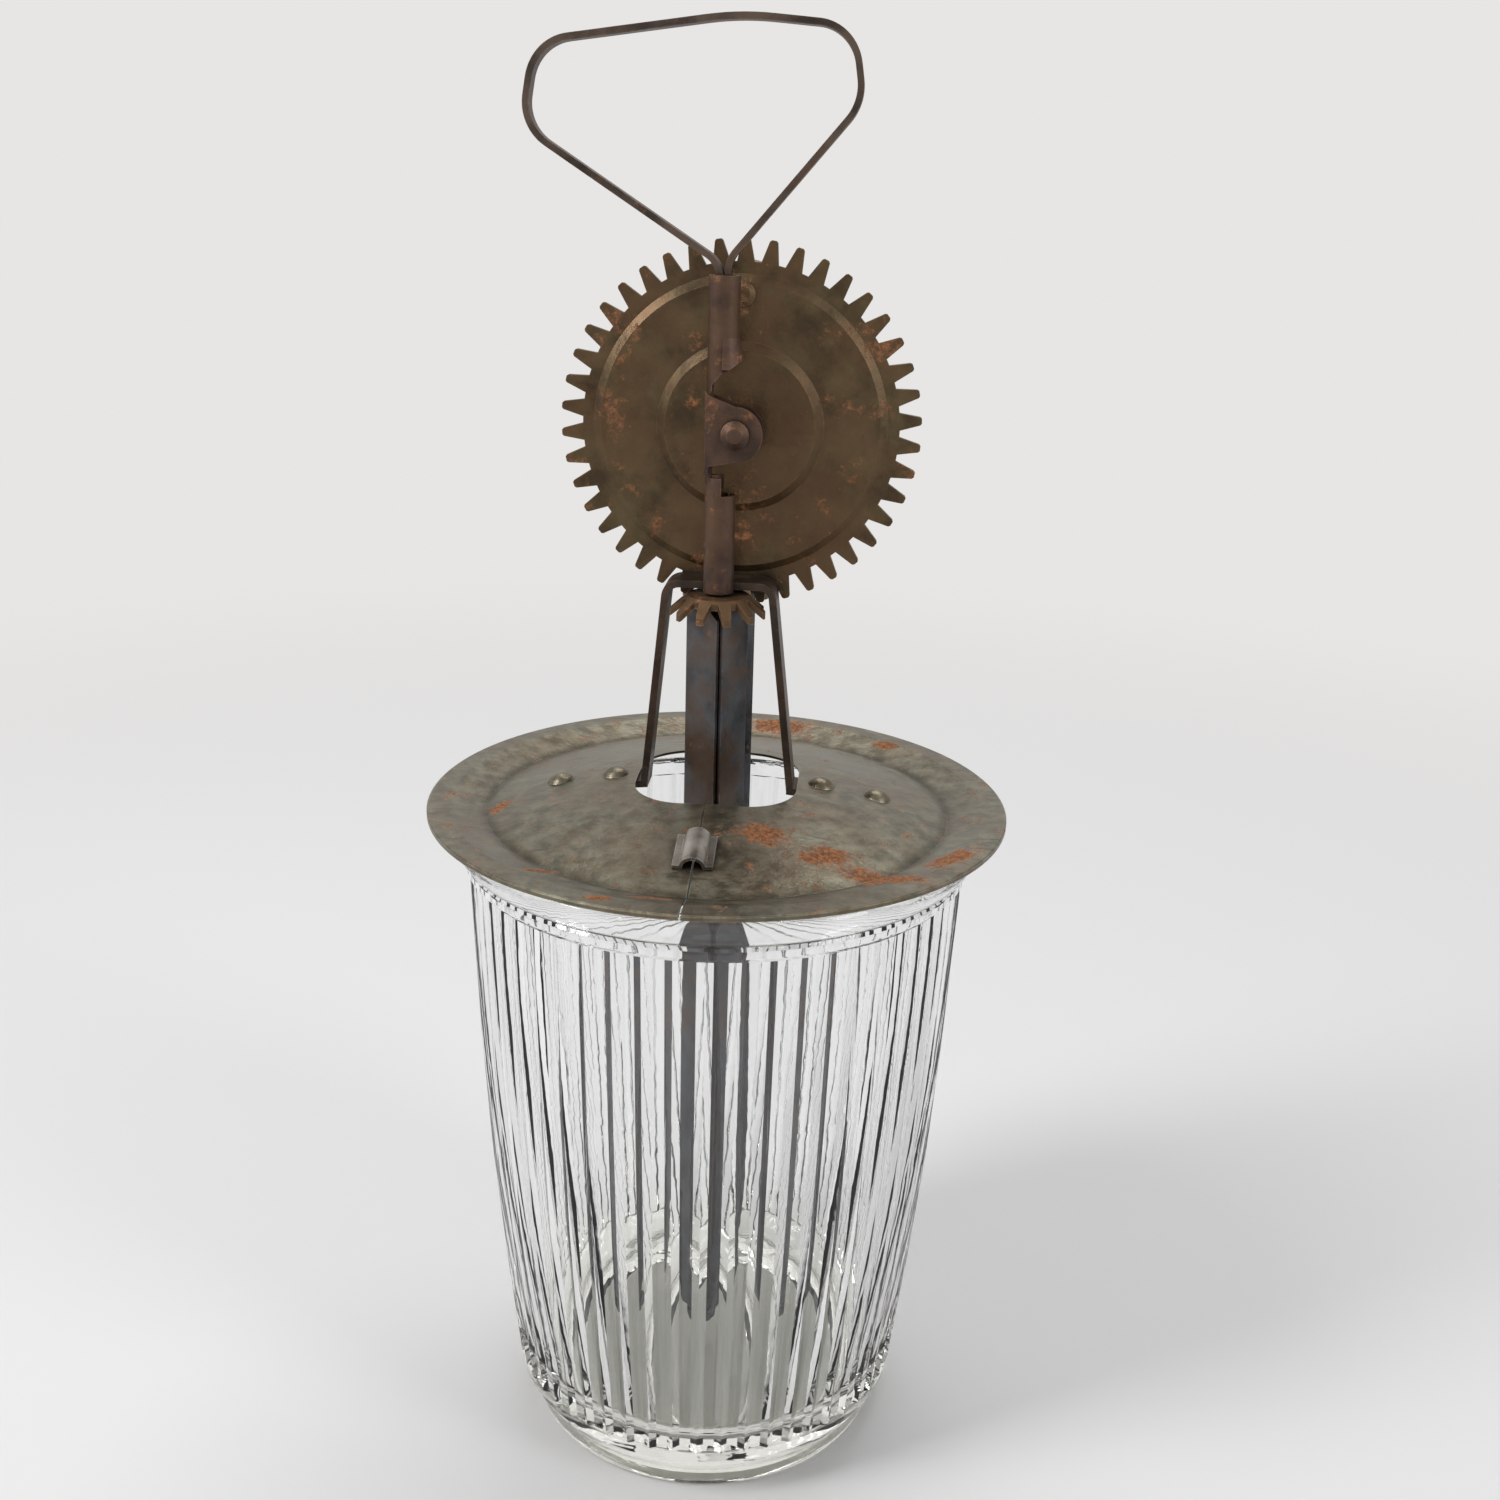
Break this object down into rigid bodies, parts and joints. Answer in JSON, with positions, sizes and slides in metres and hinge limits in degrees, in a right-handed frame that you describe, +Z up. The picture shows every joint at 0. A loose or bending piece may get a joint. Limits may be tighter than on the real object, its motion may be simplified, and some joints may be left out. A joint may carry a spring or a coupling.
{
  "type": "crank mayonnaise mixer jar",
  "caption": "Fluted glass jar with a domed tin lid that carries a hand cranked wheel, geared pinions and twin strip whisks.",
  "frame": {"origin": "centre of the jar's foot, on the surface it stands on", "axes": "+Z up, the drive wheel turns in the plane Y = 0, the crank knob is on the +Y side"},
  "size_m": [0.13, 0.13, 0.3183],
  "materials": {
    "jar_glass": "clear pressed glass, faint green low down",
    "lid_tin": "aged tin plate with rust patches",
    "clip_steel": "worn bright steel",
    "strap_steel": "near black oxidised steel",
    "post_steel": "purple brown rusted steel",
    "handle_steel": "dark oxidised steel",
    "wheel_steel": "olive brown rusted steel",
    "pinion_steel": "ochre rusted steel",
    "knob_wood": "worn stained wood",
    "whisk_steel": "dull bright steel"
  },
  "bodies": {
    "jar": {"glass_jar": "jar_glass"},
    "mixer_head": {"lid": "lid_tin", "seam_clip": "clip_steel", "lid_rivets": "lid_tin", "yoke": "strap_steel", "frame_post": "post_steel", "handle_loop": "handle_steel", "axle_rivet": "post_steel", "axle_spacer": "post_steel", "axle_washer": "post_steel", "front_spindle": "strap_steel", "rear_spindle": "strap_steel", "foot_link": "whisk_steel"},
    "wheel": {"drive_wheel": "wheel_steel", "crank_pin": "wheel_steel"},
    "knob": {"crank_knob": "knob_wood"},
    "front_whisk": {"front_pinion": "pinion_steel", "front_outer_strip": "whisk_steel", "front_inner_strip": "whisk_steel"},
    "rear_whisk": {"rear_pinion": "pinion_steel", "rear_outer_strip": "whisk_steel", "rear_inner_strip": "whisk_steel"}
  },
  "joints": [
    {"name": "lid_lift", "type": "slide", "parent": "jar", "child": "mixer_head", "axis": [0, 0, 1], "range_m": [0, 0.17]},
    {"name": "wheel_turn", "type": "hinge", "parent": "mixer_head", "child": "wheel", "pos_m": [0.003, 0, 0.2395], "axis": [0, 1, 0], "continuous": true},
    {"name": "knob_spin", "type": "hinge", "parent": "wheel", "child": "knob", "pos_m": [0.003, 0.014, 0.2665], "axis": [0, 1, 0], "continuous": true},
    {"name": "front_whisk_spin", "type": "hinge", "parent": "mixer_head", "child": "front_whisk", "pos_m": [0, -0.0104, 0.1], "axis": [0, 0, 1], "continuous": true},
    {"name": "rear_whisk_spin", "type": "hinge", "parent": "mixer_head", "child": "rear_whisk", "pos_m": [0, 0.0104, 0.1], "axis": [0, 0, 1], "continuous": true}
  ],
  "couplings": [
    {"joint": "front_whisk_spin", "follows": "wheel_turn", "ratio": 3.8182},
    {"joint": "rear_whisk_spin", "follows": "wheel_turn", "ratio": -3.8182}
  ]
}
